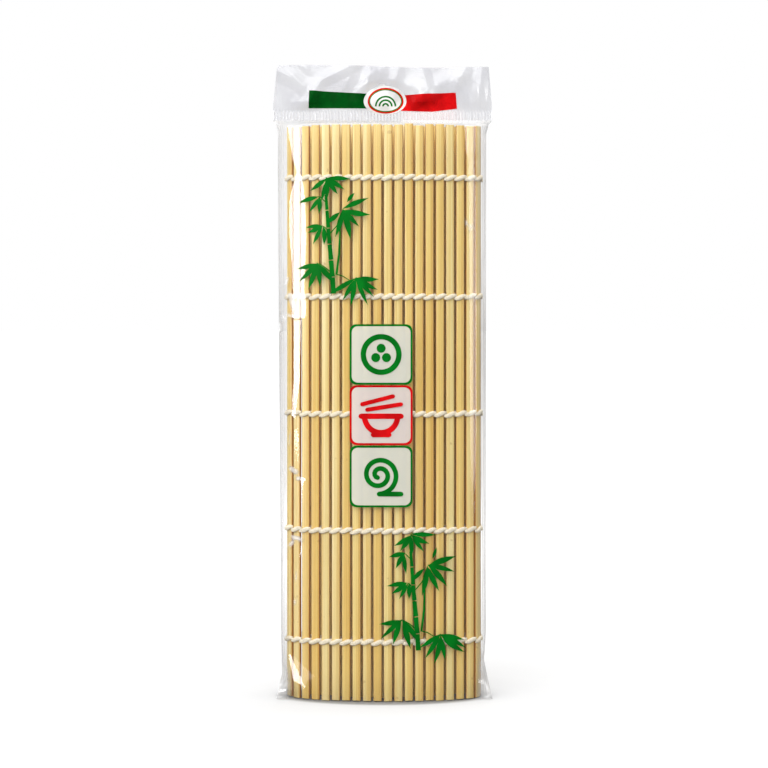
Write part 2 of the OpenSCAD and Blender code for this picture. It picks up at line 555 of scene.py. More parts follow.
# The flat facets beside them, as rows with the columns of their two edges
LEFT_FACET = [
    (115, 286.6, 301.5), (124, 286.6, 301.5), (150, 290.5, 301), (160, 292.5, 300.8),
    (171, 296.6, 300.6), (185, 292, 303), (200, 288.5, 305), (230, 288.3, 306),
    (240, 289, 306.5), (258, 290.5, 305.5), (290, 292, 304), (300, 291.5, 306),
    (315, 291, 306.5), (322, 293.3, 301), (340, 293, 300.5), (383, 293, 299.5),
    (400, 291.5, 297), (417, 292, 295), (430, 294, 297.5), (465, 293, 300),
    (467, 292.5, 304), (479, 300, 306), (484, 300.5, 303), (545, 301, 302.5),
    (560, 299, 299.6), (649, 287.5, 288.1), (653, 287.4, 288.2), (679.7, 292.9, 303.1),
    (684.5, 305.3, 306.1), (687, 303, 304), (702, 303, 304),
]
RIGHT_FACET = [
    (115, 465, 476), (135, 465, 476.5), (150, 465.5, 476), (158, 468.5, 475),
    (200, 469, 476.5), (300, 469.5, 477), (420, 470, 477), (500, 471, 476),
    (545, 473, 475), (560, 474.6, 475.4), (702, 474.6, 475.4),
]
LEFT_FACET_Y = -13 * MM
RIGHT_FACET_Y = -12 * MM
# Slopes of the facets, which mirror the strip lamps, and of the stretches that join them to the hull
FACET_TILT = math.tan(math.radians(30))
BRIDGE_TILT = math.tan(math.radians(19))
BRIDGE_REACH = 8.0 * MM
# How close the film's points lie to each of its corners
CORNER_GAP = 0.1 * MM
# Depth of the side creases, and how far forward they swing at the open foot
EDGE_MID_Y = -1.0 * MM
EAR_SWING = 10.0 * MM
# Rows of the photograph at which the ears begin and are fully open
EAR_TOP, EAR_FOOT = 664, 697
# How far a facet's edge may stand behind the hull
FACET_SLACK = 0.4 * MM


def column(rows, z, which, y):
    """The place across the object of one column of a table of photograph rows, at height z and depth y."""
    heights = np.array([photo_z(r[0], y) for r in rows])[::-1]
    places = np.array([photo_x(r[which], y) for r in rows])[::-1]
    return np.interp(z, heights, places)


def left_crease(z):
    return column(LEFT_CREASE, z, 1, EDGE_MID_Y)


def right_crease(z):
    return column(RIGHT_CREASE, z, 1, EDGE_MID_Y)


def flare(z):
    """1 at the bag's open foot and 0 above its ears."""
    return np.clip((photo_z(EAR_TOP) - z) / (photo_z(EAR_TOP) - photo_z(EAR_FOOT)), 0, 1)


def crease_y(z):
    return EDGE_MID_Y - EAR_SWING * flare(z) ** 0.8


# The flat flap at the lower left leans up and to the left, so that it mirrors the left lamp
FLAP_TOP_ROW = 652
FLAP_MIDDLE_COLUMN, FLAP_MIDDLE_ROW = 295, 672
FLAP_TOP = photo_z(FLAP_TOP_ROW, LEFT_FACET_Y)
FLAP_MIDDLE = (photo_x(FLAP_MIDDLE_COLUMN, LEFT_FACET_Y), -13.6 * MM, photo_z(FLAP_MIDDLE_ROW, LEFT_FACET_Y))
FLAP_SLOPE_ACROSS = 0.58
FLAP_SLOPE_UP = 0.27


def flap_y(x, z):
    across, up = x - FLAP_MIDDLE[0], z - FLAP_MIDDLE[2]
    return FLAP_MIDDLE[1] - FLAP_SLOPE_ACROSS * across + FLAP_SLOPE_UP * up


def film_breaks(z):
    """Corners of the film's front at height z, from the left crease to the right one."""
    xl, xr = left_crease(z), right_crease(z)
    xa, xb = [column(LEFT_FACET, z, which, LEFT_FACET_Y) for which in (1, 2)]
    xc, xd = [column(RIGHT_FACET, z, which, RIGHT_FACET_Y) for which in (1, 2)]
    xt, xs = xb + BRIDGE_REACH, xc - 0.6 * BRIDGE_REACH
    yt, ys = hull_front(xt), hull_front(xs)
    yb = min(yt + BRIDGE_TILT * (xt - xb), hull_front(xb) + FACET_SLACK)
    ya = yb + FACET_TILT * (xb - xa)
    if z < FLAP_TOP:
        fold = np.clip((FLAP_TOP - z) / (1.0 * MM), 0, 1) * np.clip((z - 1.5 * MM) / (4 * MM), 0, 1)
        ya, yb = ya + fold * (flap_y(xa, z) - ya), yb + fold * (flap_y(xb, z) - yb)
    yc = min(ys + BRIDGE_TILT * (xc - xs), hull_front(xc) + FACET_SLACK)
    yd = yc + FACET_TILT * (xd - xc)
    places = np.array([xl, xa, xb, xt, xs, xc, xd, xr])
    depths = np.array([crease_y(z), ya, yb, yt, ys, yc, yd, crease_y(z)])
    return places, depths


def film_front(x, z):
    """Depth of the film's front at x and height z."""
    places, depths = film_breaks(z)
    y = np.interp(x, places, depths)
    return np.where((x > places[3]) & (x < places[4]), hull_front(x), y)


def front_columns(z):
    """Places of the film's points across its front, close together at each corner so that it stays crisp."""
    (xl, xa, xb, xt, xs, xc, xd, xr), _ = film_breaks(z)
    e = CORNER_GAP
    a, c = min(e, (xb - xa) / 6), min(e, (xd - xc) / 6)
    return np.concatenate([
        [xl], np.linspace(xl + e, xa - e, 14),
        [xa + a], np.linspace(xa + 2 * a, xb - 2 * a, 6), [xb - a],
        np.linspace(xb + e, xt - 4 * e, 6),
        np.linspace(xt + 4 * e, xs - 4 * e, 36),
        np.linspace(xs + 4 * e, xc - e, 5),
        [xc + c], np.linspace(xc + 2 * c, xd - 2 * c, 4), [xd - c],
        np.linspace(xd + e, xr - e, 14), [xr],
    ])


# Height from which the film draws in to the seam
TOP_Z = SLAT_HIGH.z + 1.5 * MM
LEVELS = np.concatenate([np.linspace(SLEEVE_LOW.z, TOP_Z, 300), np.linspace(TOP_Z, SEAM_Z, 9)[1:]])
SEAM_LEFT_COLUMN, SEAM_RIGHT_COLUMN = 273.2, 491.8
SEAM_LEFT_X, SEAM_RIGHT_X = photo_x(SEAM_LEFT_COLUMN, 0), photo_x(SEAM_RIGHT_COLUMN, 0)
HALF_SEAM = 0.25 * MM
# Depth of the film's fine waves, and the stretch of its front that has them
WAVE_DEPTH = 0.05 * MM
WAVE_LEFT, WAVE_RIGHT = -0.034, 0.036
# Points across the film's back, how far in from the creases it meets the hull, and the hull's reach there
BACK_POINTS = 42
BACK_ROUND = 0.005
BACK_REACH = 0.044


def film_ring(z):
    """The film's outline at height z, from the left crease round the front to the right one and back."""
    level = min(z, TOP_Z)
    x = front_columns(level)
    y = film_front(x, level)
    wave = WAVE_DEPTH * np.sin(310 * x + 9 * np.sin(21 * level)) * np.sin(36 * level + 60 * x)
    y = y - np.where((x > WAVE_LEFT) & (x < WAVE_RIGHT), wave, 0)
    back_x = np.linspace(x[-1], x[0], BACK_POINTS)[1:-1]
    wall = np.clip(np.minimum(back_x - x[0], x[-1] - back_x) / BACK_ROUND, 0, 1)
    back_y = crease_y(level) * (1 - wall) + wall * hull_back(np.clip(back_x, -BACK_REACH, BACK_REACH))
    x, y = np.concatenate([x, back_x]), np.concatenate([y, back_y])
    t = max(0.0, (z - TOP_Z) / (SEAM_Z - TOP_Z))
    if t > 0:
        u = (x - x.min()) / (x.max() - x.min())
        x = x + t * t * (3 - 2 * t) * (SEAM_LEFT_X + u * (SEAM_RIGHT_X - SEAM_LEFT_X) - x)
        y = y * (1 - t) + HALF_SEAM * np.sign(y) * t
    return np.column_stack([x, y, np.full(len(x), z)])


# White painted highlights on the film's crumples: column and row in the photograph, half width and half
# height in pixels, lean in radians, and the share that each veils at its middle
PAINTED_GLINTS = [
    (286, 281, 1.6, 4.5, 0.35, 0.45), (291, 301, 2.6, 9.0, -0.25, 0.5),
    (292, 316.5, 7.0, 1.5, 0.25, 0.55), (278.5, 328, 1.3, 4.5, 0.0, 0.5),
    (283, 318, 1.6, 3.0, -0.6, 0.4), (467.5, 224, 1.5, 4.5, -0.5, 0.45),
    (471, 228, 1.2, 3.5, 0.4, 0.4), (296, 577, 0.8, 5.0, 0.1, 0.4),
    (294.5, 604, 0.8, 4.0, -0.1, 0.4), (293, 471, 5.0, 2.6, 0.5, 0.7),
    (298, 479, 2.6, 1.7, -0.3, 0.65), (296, 539, 6.0, 2.0, 0.2, 0.7),
    (291, 545, 1.8, 4.0, 0.6, 0.55), (289, 440, 0.9, 7.0, 0.1, 0.35),
    (278.5, 689, 1.2, 6.0, 0.5, 0.16), (277, 697, 4.5, 1.2, 0.2, 0.16),
    (487, 688, 1.2, 5.0, -0.4, 0.16), (488, 697, 3.5, 1.2, -0.3, 0.16),
]
# Fine lines beside the side creases: how far in each lies, in mm, and the share that it veils
CREASE_LINES = ((0.5, 0.45), (1.5, 0.30), (2.6, 0.22), (3.6, 0.12))
LINE_WIDTH = 0.22 * MM
# Reach of the haze in from the creases, and what the open foot adds to it
EDGE_HAZE = 4.2 * MM
EAR_HAZE = 3.5 * MM
# Heights over which the haze grows toward the top, where it paints the light that falls in from above, and
# toward the foot
PAINTED_TOP_LIGHT_FROM, PAINTED_TOP_LIGHT_RISE = 0.225, 0.045
FOOT_HAZE = 0.022


def painted_glint_share(points):
    """The share of white painted highlights on the crumples at each point of the film's front."""
    total = np.zeros(len(points))
    for px, py, wide, tall, lean, share in PAINTED_GLINTS:
        x, z = points[:, 0] - photo_x(px, LEFT_FACET_Y), points[:, 2] - photo_z(py, LEFT_FACET_Y)
        across = x * math.cos(lean) - z * math.sin(lean)
        along = x * math.sin(lean) + z * math.cos(lean)
        total += share * np.exp(-(across / (wide * PX)) ** 4 - (along / (tall * PX)) ** 4)
    return np.clip(total, 0, 0.8) * (points[:, 1] < 0)


def haze(points):
    """The share that the film veils: faint over the slats, more at the side creases, the top and the foot.
    Toward the top it paints light that falls in from above, and at the crumples it paints white highlights.
    """
    x, z = points[:, 0], points[:, 2]
    level = np.minimum(z, TOP_Z)
    inset = np.minimum(x - left_crease(level), right_crease(level) - x)
    edge = np.clip(1 - inset / (EDGE_HAZE + EAR_HAZE * flare(z)), 0, 1)
    # Toward the top the veil paints the light that falls in from above.
    top = np.clip((z - PAINTED_TOP_LIGHT_FROM) / PAINTED_TOP_LIGHT_RISE, 0, 1) ** 2
    foot = np.clip((FOOT_HAZE - z) / FOOT_HAZE, 0, 1)
    wander = 0.25 * MM * np.sin(31 * z) + 0.15 * MM * np.sin(83 * z + 2)
    lines = sum(share * np.exp(-((inset - place * MM - wander) / LINE_WIDTH) ** 2)
                for place, share in CREASE_LINES)
    streaks = 0.5 + 0.5 * np.sin(900 * x + 4 * np.sin(45 * z)) * np.sin(70 * z + 200 * x)
    over_slats = 0.006 + 0.04 * top + 0.02 * foot
    beside_creases = edge * (0.10 + 0.12 * streaks + 0.9 * foot) + lines * (edge > 0)
    return np.clip(painted_glint_share(points) + over_slats + beside_creases, 0, 0.9)


def sag_with_unfold(obj):
    """Gives the film or print its own copy of its mesh."""
    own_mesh(obj)
    return obj


def make_sleeve():
    rings = [film_ring(z) for z in LEVELS]
    points = np.concatenate(rings)
    obj = mesh_object("film_bag", points, tube(rings, closed_ends=False))
    set_attribute(obj, "haze", haze(points))
    # White painted highlights where the film is crumpled.
    set_attribute(obj, "painted_reflection", np.clip(4 * painted_glint_share(points), 0, 1))
    finish_piece(obj, "bag", "clear_film", FILM, "clear_sleeve")
    return sag_with_unfold(obj)


make_sleeve()

# Header

# The header's top edge, as columns and rows of the photograph
HEADER_TOP = [(277.2, 65.4), (310, 65.0), (360, 65.8), (400, 67.4), (430, 68.0), (460, 67.2), (488.7, 67.0)]
HEADER_COLUMNS, HEADER_ROWS = 300, 84
HEADER_FRONT = -0.3 * MM
HEADER_THICK = 0.35 * MM
SEAM_TOP_ROW = 110.5
SEAM_TOP = photo_z(SEAM_TOP_ROW, 0)
RIB_PITCH = 1.55 * MM
RIB_DEPTH = 0.20 * MM
# Middle of the round label, and the half width and half height that stay flat under it
LABEL_COLUMN, LABEL_ROW = 385, 100.4
LABEL_X, LABEL_Z = photo_x(LABEL_COLUMN, 0), photo_z(LABEL_ROW, 0)
LABEL_REACH = (10.3 * MM, 7.0 * MM)
# A painted reflection of the red bar in the seam below it, from one column to the other and under this row
RED_REFLECTION_LEFT, RED_REFLECTION_RIGHT, RED_REFLECTION_ROW = 398, 468, 107
# Ranges of the header's folds: place across and up, lean, depth in mm, half width and reach
FOLD_RANGES = ((-0.050, 0.050), (0.280, 0.302), (-1.2, 1.2), (0.4, 1.2), (0.003, 0.009), (0.006, 0.018))
FOLD_COUNT = 30
FOLDS = [tuple(RNG.uniform(low, high) for low, high in FOLD_RANGES) for _ in range(FOLD_COUNT)]
# The larger folds that the photograph shows
FOLDS += [
    (-0.041, 0.293, -0.75, 1.0, 0.0045, 0.012),
    (-0.034, 0.286, 0.55, 1.0, 0.004, 0.011),
    (-0.022, 0.297, 1.1, 1.2, 0.004, 0.012),
    (-0.008, 0.291, 0.15, 1.1, 0.004, 0.010),
    (0.020, 0.292, -0.3, 1.1, 0.004, 0.010),
    (0.046, 0.292, 0.1, 1.2, 0.004, 0.012),
]


def header_relief(x, z):
    """Creases and facets pressed into the flat films of the header, in metres toward -Y."""
    relief = np.zeros(np.broadcast(x, z).shape)
    for cx, cz, lean, height, width, reach in FOLDS:
        d = (x - cx) * math.cos(lean) - (z - cz) * math.sin(lean)
        s = (x - cx) * math.sin(lean) + (z - cz) * math.cos(lean)
        shape = np.clip(1 - np.abs(d) / width, 0, 1) * np.clip(1.3 - np.abs(s) / reach, 0, 1)
        relief = relief + height * MM * shape
    calm = np.clip((z - SEAM_TOP) / 0.004, 0, 1)
    flat = np.clip(np.hypot((x - LABEL_X) / LABEL_REACH[0], (z - LABEL_Z) / LABEL_REACH[1]) - 1, 0, 0.4) / 0.4
    rib = RIB_DEPTH * np.sin(2 * math.pi * x / RIB_PITCH) * np.clip((SEAM_TOP - z) / 0.0006, 0, 1)
    return (relief * calm + rib) * flat


def header_depth(x, z):
    return HEADER_FRONT - header_relief(x, z)


def make_header():
    columns = np.array([p[0] for p in HEADER_TOP])
    heights = np.array([photo_z(p[1], 0) for p in HEADER_TOP])
    left, right = columns[0], columns[-1]
    u = np.linspace(0, 1, HEADER_COLUMNS)
    v = np.linspace(0, 1, HEADER_ROWS)
    bottom_x = SEAM_LEFT_X + u * (SEAM_RIGHT_X - SEAM_LEFT_X)
    top_x = photo_x(left, 0) + u * (photo_x(right, 0) - photo_x(left, 0))
    top_z = np.interp(left + u * (right - left), columns, heights)
    z = SEAM_Z + v[:, None] * (top_z - SEAM_Z)[None, :]
    rise = np.clip((v - 0.28) / 0.72, 0, 1)[:, None]
    x = bottom_x[None, :] * (1 - rise) + top_x[None, :] * rise
    front = np.stack([x, header_depth(x, z), z], -1).reshape(-1, 3)
    back = front + [0, HEADER_THICK, 0]
    faces = grid_faces(HEADER_ROWS, HEADER_COLUMNS)
    faces += [tuple(i + len(front) for i in f[::-1]) for f in faces]
    points = np.concatenate([front, back])
    obj = mesh_object("film_header", points, faces)
    x, z = points[:, 0], points[:, 2]
    patch = 0.5 + 0.5 * np.sin(170 * x + 2) * np.sin(260 * z + 70 * x)
    seam = np.clip((SEAM_TOP - z) / 0.001, 0, 1)
    rib = 0.5 + 0.5 * np.sin(2 * math.pi * x / RIB_PITCH + 1.2)
    set_attribute(obj, "haze", 0.20 + 0.12 * patch * (1 - seam) + seam * (0.22 * rib - 0.08))
    # A painted pink reflection of the red bar in the seam below it.
    after = np.clip((x - photo_x(RED_REFLECTION_LEFT)) / 0.006, 0, 1)
    before = np.clip((photo_x(RED_REFLECTION_RIGHT) - x) / 0.008, 0, 1)
    under = np.clip((photo_z(RED_REFLECTION_ROW, 0) - z) / 0.003, 0, 1)
    set_attribute(obj, "painted_reflection", after * before * under * 0.55)
    return finish_piece(obj, "bag", "header_film", HEADER_FILM, "header")


make_header()

# Prints

PRINT_LIFT = 0.12 * MM
# Extra lift of each shape of a print over the one before, so that none lie in one plane
LAYER = 0.004 * MM
LEAF_POINTS = 12


def depth_at(points, on_header):
    if on_header:
        return np.array([float(header_depth(np.float64(x), np.float64(z))) for x, z in points])
    return np.array([float(film_front(np.array([x]), z)[0]) for x, z in points])


def print_piece(name, shapes, material, on_header=False, lift=PRINT_LIFT, veil=None):
    """Lays flat shapes, each a list of (x, z) points and its faces, on the film."""
    points, faces, lifts = [], [], []
    for index, (shape_points, shape_faces) in enumerate(shapes):
        start = len(points)
        points += list(shape_points)
        lifts += [lift + index * LAYER] * len(shape_points)
        faces += [tuple(i + start for i in f) for f in shape_faces]
    depth = depth_at(points, on_header) - np.array(lifts)
    obj = mesh_object(name, [(p[0], y, p[1]) for p, y in zip(points, depth)], faces)
    if veil is not None:
        set_attribute(obj, "haze", veil)
        set_attribute(obj, "painted_reflection", 0.0)
    finish_piece(obj, "bag", "header_film", material)
    return obj if on_header else sag_with_unfold(obj)


def strip(left, right):
    """A band between two lines with the same number of points."""
    count = len(left)
    faces = [(k, count + k, count + k + 1, k + 1) for k in range(count - 1)]
    return list(left) + list(right), faces


def leaf(px, py, angle, length, width, bend):
    """A pointed leaf from its stem at (px, py). Its angle is from straight down, positive to the right."""
    t = np.linspace(0, 1, LEAF_POINTS)
    a = math.radians(angle) + bend * t
    x = px + np.concatenate([[0], np.cumsum(np.sin(a) * length / (LEAF_POINTS - 1))[:-1]])
    y = py + np.concatenate([[0], np.cumsum(np.cos(a) * length / (LEAF_POINTS - 1))[:-1]])
    half = width / 2 * np.clip(np.sin(math.pi * t ** 0.92), 0, 1) ** 1.15
    half[0], half[-1] = 0.05 * width, 0.01 * width
    side = np.stack([np.cos(a), -np.sin(a)], 1) * half[:, None]
    line = np.stack([x, y], 1)
    return line + side, line - side


def to_object(line, y=FRONT_Y):
    """Points of the photograph as places across and up the object, at depth y."""
    return [(photo_x(p[0], y), photo_z(p[1], y)) for p in line]


def limb(points, widths):
    """A stem through points with a width at each."""
    points = np.array(points, float)
    along = np.gradient(points, axis=0)
    along /= np.linalg.norm(along, axis=1)[:, None]
    side = np.stack([-along[:, 1], along[:, 0]], 1) * np.array(widths)[:, None] / 2
    return points + side, points - side


def fan(px, py, first, last, count, length, width, rng):
    """A spray of leaves from one point."""
    leaves = []
    for angle in np.linspace(first, last, count):
        x = px + rng.normal(0, 0.6)
        y = py + rng.normal(0, 0.5)
        turned = angle + rng.normal(0, 5)
        long = length * rng.uniform(0.82, 1.12)
        wide = width * rng.uniform(0.85, 1.1)
        leaves.append(leaf(x, y, turned, long, wide, rng.normal(0, 0.16)))
    return leaves


# A sprig's places are in pixels of the photograph, right and down from the foot of its stem.
# The joints of its stem, with the stem's width at each
STEM = [
    (0, 0, 5.0), (-1.2, -17, 4.9), (-2.6, -34, 4.7), (-4.0, -50, 4.3),
    (-5.4, -66, 3.9), (-6.6, -84, 3.3), (-7.8, -100, 2.6),
]
# Its twigs, each a line and its width
TWIGS = [
    ([(-3, -22), (-9, -27), (-15, -31)], 1.1),
    ([(2, -20), (9, -18), (17, -13)], 1.1),
    ([(-4, -60), (3, -68), (9, -80)], 1.1),
    ([(3, -20), (5.5, -40), (6.5, -66)], 2.2),
    ([(-6, -64), (-9, -67), (-11, -68)], 1.0),
    ([(-8, -92), (-12, -96), (-14, -98)], 1.0),
    ([(-7.8, -100), (-8, -108), (-7.4, -117)], 2.0),
]
# Its sprays: place, angles of the first and last leaf, count, length and width of the leaves
SPRAYS = [
    (-16, -31, -80, 44, 5, 27, 5.4),
    (22, -16, -54, 84, 7, 29, 5.2),
    (9, -85, -12, 114, 5, 28, 5.8),
    (6, -82, -48, -30, 1, 22, 5.4),
    (-11, -68, -86, 6, 4, 20, 4.6),
    (-14, -98, -76, 8, 3, 20, 4.6),
    (-7, -116, -56, 88, 6, 23, 4.8),
    (14, -92, 148, 156, 1, 12, 3.6),
]
LEFT_SPRIG_FOOT = (333.5, 294)
RIGHT_SPRIG_FOOT = (418.5, 651)


def sprig(name, px, py, seed):
    """A bamboo sprig of a jointed stem and sprays of leaves. (px, py) is the foot of its stem."""
    rng = np.random.default_rng(seed)
    bands = []
    for (x0, y0, w0), (x1, y1, w1) in zip(STEM, STEM[1:]):
        lower, upper = (px + x0, py + y0 - 0.4), (px + x1, py + y1 + 0.5)
        waist = (px + (x0 + x1) / 2, py + (y0 + y1) / 2)
        bands.append(limb([lower, waist, upper], [w0 * 1.04, w0 * 0.92, w1 * 1.04]))
    for line, width in TWIGS:
        bands.append(limb([(px + x, py + y) for x, y in line], [width, width, 0.6 * width]))
    for x, y, first, last, count, length, width in SPRAYS:
        bands += fan(px + x, py + y, first, last, count, length, width, rng)
    print_piece(name, [strip(to_object(a), to_object(b)) for a, b in bands], GREEN)


sprig("sprig_left", *LEFT_SPRIG_FOOT, 11)
sprig("sprig_right", *RIGHT_SPRIG_FOOT, 12)


def ellipse(px, py, rx, ry, egg=0.0, steps=56):
    """Points of an ellipse, which is wider below its middle than above it where egg is negative."""
    a = np.linspace(0, 2 * math.pi, steps, endpoint=False)
    return [(px + rx * math.cos(t) * (1 + egg * math.sin(t)), py - ry * math.sin(t)) for t in a]


def dense(points, step=2.0, closed=True):
    """The same line with a point every few pixels, so that what is printed follows the film."""
    line = np.array(points, float)
    if closed:
        line = np.vstack([line, line[:1]])
    reach = np.concatenate([[0], np.cumsum(np.linalg.norm(np.diff(line, axis=0), axis=1))])
    places = np.linspace(0, reach[-1], max(2, int(reach[-1] / step) + 1))
    line = np.stack([np.interp(places, reach, line[:, k]) for k in (0, 1)], 1)
    return line[:-1] if closed else line


def between(outer, inner):
    """The band between two closed lines with the same number of points."""
    count = len(outer)
    faces = [(count + k, count + (k + 1) % count, (k + 1) % count, k) for k in range(count)]
    return list(outer) + list(inner), faces


def filled(outline, y=FRONT_Y):
    """A filled outline as nested rings, so that it follows the film."""
    line = dense(outline)
    middle = line.mean(0)
    nested = [to_object(middle + (line - middle) * share, y) for share in (1.0, 0.8, 0.6, 0.4, 0.2, 0.01)]
    return [between(a, b) for a, b in zip(nested, nested[1:])]


def ring_mark(px, py, rx, ry, line, y=FRONT_Y, egg=0.0):
    outer = ellipse(px, py, rx, ry, egg)
    inner = ellipse(px, py, rx - line, ry - line, egg)
    return [between(to_object(outer, y), to_object(inner, y))]


def rounded_square(px0, py0, px1, py1, r, steps=6):
    points = []
    corners = [(px1 - r, py0 + r), (px0 + r, py0 + r), (px0 + r, py1 - r), (px1 - r, py1 - r)]
    for (cx, cy), start in zip(corners, (0, 90, 180, 270)):
        for k in range(steps + 1):
            a = math.radians(start + 90 * k / steps)
            points.append((cx + r * math.cos(a), cy - r * math.sin(a)))
    return points


def stroke(points, width):
    """A brush stroke with round ends."""
    line = dense(points, closed=False)
    a, b = limb(line, [width] * len(line))
    shapes = [strip(to_object(a), to_object(b))]
    for px, py in (points[0], points[-1]):
        shapes += filled(ellipse(px, py, width / 2, width / 2))
    return shapes


def arc(x, y, radius, first, last, shrink=0.0, steps=40):
    """Points along an arc from one angle to another, in degrees. Its radius shrinks evenly by shrink."""
    points = []
    for k in range(steps + 1):
        a = math.radians(first + (last - first) * k / steps)
        reach = radius - shrink * (k / steps)
        points.append((x + reach * math.cos(a), y - reach * math.sin(a)))
    return points


def cut_roll(x, y):
    """A slice of a rice roll: its outer sheet and three fillings."""
    shapes = ring_mark(x, y, 20.5, 20.5, 5.4)
    for degrees in (90, 210, 330):
        a = math.radians(degrees)
        filling = arc(x + 6.2 * math.cos(a), y - 6.2 * math.sin(a), 4.6, 0, 350, steps=24)
        shapes += filled(filling)
    return shapes


def bowl(x, y):
    """A bowl under two chopsticks."""
    shapes = stroke([(x - 20, y + 1), (x + 20, y + 1)], 5.4)
    shapes += stroke(arc(x, y + 1, 16.5, 180, 360), 5.6)
    shapes += stroke([(x - 8, y + 19.5), (x + 8, y + 19.5)], 5.0)
    shapes += stroke([(x - 19, y - 11), (x + 12, y - 19)], 4.2)
    return shapes + stroke([(x - 14, y - 5.5), (x + 20, y - 11)], 4.2)


def rolled_mat(x, y):
    """A mat being rolled up, from its end."""
    shapes = stroke(arc(x - 2, y - 1.5, 3.0, 600, -90, -16.0, 90), 4.8)
    return shapes + stroke([(x - 2, y + 17.5), (x + 20, y + 17.5)], 4.8)


# Columns of the three panels' sides, and rows of each one's top and bottom
PANEL_LEFT, PANEL_RIGHT = 349.6, 412.6
TOP_PANEL = (324.2, 384.7)
MIDDLE_PANEL = (385.3, 445.1)
BOTTOM_PANEL = (445.7, 507.3)
# Width of a panel's frame and radius of its corners, in pixels
PANEL_LINE = 2.0
PANEL_ROUND = 6.5
PANEL_VEIL = 0.74
FILL_LIFT = 0.14 * MM
FRAME_LIFT = 0.22 * MM
MARK_LIFT = 0.26 * MM


def make_panel(name, rows, material, mark):
    top, bottom = rows
    outer = dense(rounded_square(PANEL_LEFT, top, PANEL_RIGHT, bottom, PANEL_ROUND))
    middle = np.array([(PANEL_LEFT + PANEL_RIGHT) / 2, (top + bottom) / 2])
    half = middle - (PANEL_LEFT, top)
    inner = middle + (outer - middle) * (half - PANEL_LINE) / half
    fill = ROSE_PANEL if material is RED else WHITE_PANEL
    print_piece(f"{name}_frame", [between(to_object(outer), to_object(inner))], material, lift=FRAME_LIFT)
    print_piece(f"{name}_fill", filled(outer), fill, lift=FILL_LIFT, veil=PANEL_VEIL)
    print_piece(f"{name}_mark", mark(*middle), material, lift=MARK_LIFT)


make_panel("panel_top", TOP_PANEL, GREEN, cut_roll)
make_panel("panel_middle", MIDDLE_PANEL, RED, bowl)
make_panel("panel_bottom", BOTTOM_PANEL, GREEN, rolled_mat)


def evenly(line, t):
    """Places at shares t along a line whose own points are taken as evenly spread."""
    shares = np.linspace(0, 1, len(line))
    return np.stack([np.interp(t, shares, np.array(line)[:, k]) for k in (0, 1)], 1)


def make_bar(name, top, bottom, material):
    """A printed bar on the header between two lines of photograph points."""
    t = np.linspace(0, 1, 60)
    a, b = evenly(top, t), evenly(bottom, t)
    lines = [to_object(a + (b - a) * share, 0) for share in np.linspace(0, 1, 10)]
    shapes = [strip(upper, lower) for upper, lower in zip(lines, lines[1:])]
    print_piece(name, shapes, material, on_header=True, lift=BAR_LIFT)


def make_waves():
    """Three arcs, one inside the other, on the round label."""
    shapes = []
    for radius in WAVE_RADII:
        line = arc(*WAVE_MIDDLE, radius, 0, 180)
        a, b = limb(line, [WAVE_LINE] * len(line))
        shapes.append(strip(to_object(a, 0), to_object(b, 0)))
    print_piece("label_waves", shapes, GREEN, on_header=True, lift=RING_LIFT)


# Columns and rows of each bar's top edge and bottom edge
LEFT_BAR_TOP = [(309.4, 90.7), (340, 92.4), (368, 93.9)]
LEFT_BAR_BOTTOM = [(308.6, 108.5), (340, 108.4), (368, 108.6)]
RIGHT_BAR_TOP = [(401, 95.4), (428, 94.2), (455.6, 92.9)]
RIGHT_BAR_BOTTOM = [(401, 111), (432, 111.9), (457, 108.9)]
# Column, row, half width and half height of the round shapes, all in pixels
HANG_DOT = (382, 89.5, 5.4, 5.4)
LABEL_CARD = (385.0, 100.4, 21.4, 14.4)
OUTER_RING = (385.6, 100.8, 17.9, 12.9)
INNER_RING = (385.6, 100.8, 16.4, 11.4)
OUTER_LINE = 1.5
INNER_LINE = 1.0
LABEL_EGG = -0.06
WAVE_MIDDLE = (385.6, 106.5)
WAVE_RADII = (2.6, 6.2, 9.8)
WAVE_LINE = 1.7
BAR_LIFT = 0.1 * MM
DOT_LIFT = 0.12 * MM
CARD_LIFT = 0.16 * MM
RING_LIFT = 0.2 * MM

make_bar("bar_left", LEFT_BAR_TOP, LEFT_BAR_BOTTOM, DARK_GREEN)
make_bar("bar_right", RIGHT_BAR_TOP, RIGHT_BAR_BOTTOM, RED)
outer_ring = ring_mark(*OUTER_RING, OUTER_LINE, 0, LABEL_EGG)
inner_ring = ring_mark(*INNER_RING, INNER_LINE, 0, LABEL_EGG)
print_piece("hang_dot", filled(ellipse(*HANG_DOT), 0), WHITE, on_header=True, lift=DOT_LIFT)
print_piece("label_card", filled(ellipse(*LABEL_CARD, LABEL_EGG), 0), WHITE, on_header=True, lift=CARD_LIFT)
print_piece("label_outer_ring", outer_ring, RED, on_header=True, lift=RING_LIFT)
print_piece("label_inner_ring", inner_ring, GREEN, on_header=True, lift=RING_LIFT)
make_waves()

# Room, light and camera

FLOOR_SIZE = 6.0
FLOOR_GREY = 0.30
# Half axes of the ellipse under the mat from which distances on the floor are counted; the glow fades out
# toward it, which paints a shadow round the mat's foot
PAINTED_SHADOW_AXES = (0.042, 0.0187)
# How strongly the floor glows for the camera by that distance, which is 0.05 on the ellipse; none near the
# mat, so a painted shadow lies round it
FLOOR_GLOW = [(0.0545, 0.0), (0.063, 0.51), (0.078, 0.565), (0.13, 0.62), (0.25, 0.67), (1.0, 0.95)]
WORLD_LIGHT = 0.56
# How bright the film mirrors the room on the camera's side
ROOM_DIM = 0.42
# Places on the bag's two sides that the strip lamps face
LEFT_SIDE = (-0.043, -0.013, 0.22)
RIGHT_SIDE = (0.043, -0.013, 0.22)


def grey(level):
    return (level, level, level)


